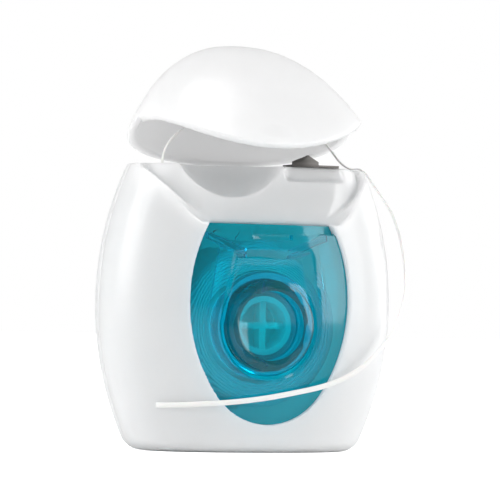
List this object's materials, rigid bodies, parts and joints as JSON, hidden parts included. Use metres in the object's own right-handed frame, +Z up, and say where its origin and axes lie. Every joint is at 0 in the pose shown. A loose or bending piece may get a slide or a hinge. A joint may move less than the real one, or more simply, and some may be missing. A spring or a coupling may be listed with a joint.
{
  "type": "dental floss dispenser",
  "caption": "Pocket dental floss dispenser with a two-part case, a see-through insert, a floss spool on a hub, a metal cutter and a hinged dome lid.",
  "frame": {"origin": "centre of the flat base face", "axes": "+Z up from the base to the lid, -Y towards the window, +X to the right as seen from the window side"},
  "size_m": [0.0519, 0.0293, 0.0681],
  "materials": {
    "case_plastic": "smooth moulded white polypropylene, semi-gloss",
    "teal_plastic": "clear teal polystyrene, glossy",
    "spool_plastic": "natural moulded plastic",
    "floss": "waxed flat multifilament",
    "cutter_steel": "thin pressed stainless sheet"
  },
  "bodies": {
    "case": {"front_shell": "case_plastic", "rear_shell": "case_plastic", "window_insert": "teal_plastic", "living_hinge": "case_plastic", "floss_feed": "floss", "floss_tail": "floss", "cutter": "cutter_steel"},
    "lid": {"lid": "case_plastic"},
    "spool": {"spool_core": "spool_plastic", "floss_pack": "floss", "floss_turns": "floss"}
  },
  "joints": [
    {"name": "lid_hinge", "type": "hinge", "parent": "case", "child": "lid", "pos_m": [0, 0.01165, 0.04775], "axis": [-1, 0, 0], "range_deg": [-30.5, 90], "stiffness_Nm_per_rad": 0.004},
    {"name": "spool_spin", "type": "hinge", "parent": "case", "child": "spool", "pos_m": [0, 0, 0.021], "axis": [0, 1, 0], "continuous": true}
  ]
}
